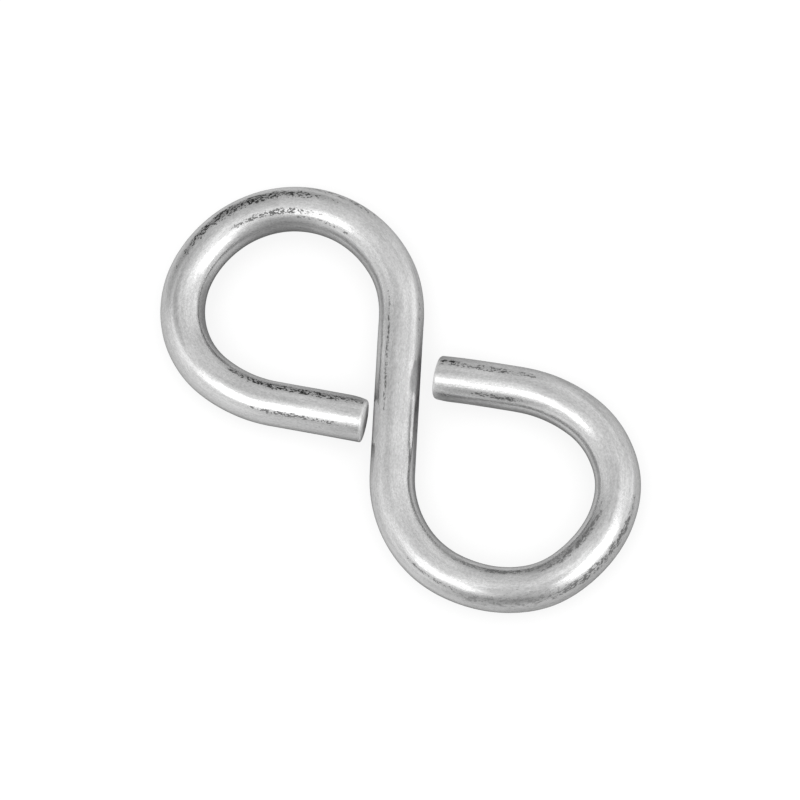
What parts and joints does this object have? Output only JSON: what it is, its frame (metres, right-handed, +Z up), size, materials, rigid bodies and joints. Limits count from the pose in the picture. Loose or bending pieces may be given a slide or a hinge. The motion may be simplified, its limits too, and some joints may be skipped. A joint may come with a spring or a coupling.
{
  "type": "s hook",
  "caption": "Closed S hook of round zinc plated steel wire, with an eye at each end that joins chain, rings or rope fittings in line.",
  "frame": {"origin": "middle of the straight shank in plan, at the lowest point of the wire as the hook lies flat", "axes": "+Y along the load line, from the origin towards the crown of the upper eye; +Z up, square to the plane the wire is bent in; +X across the hook"},
  "size_m": [0.027, 0.0544, 0.0045],
  "materials": {
    "zinc_plated_steel": "bright zinc plating over drawn steel wire, with fine lengthwise draw lines and small dark specks"
  },
  "bodies": {
    "root": {"s_hook": "zinc_plated_steel"}
  },
  "joints": []
}
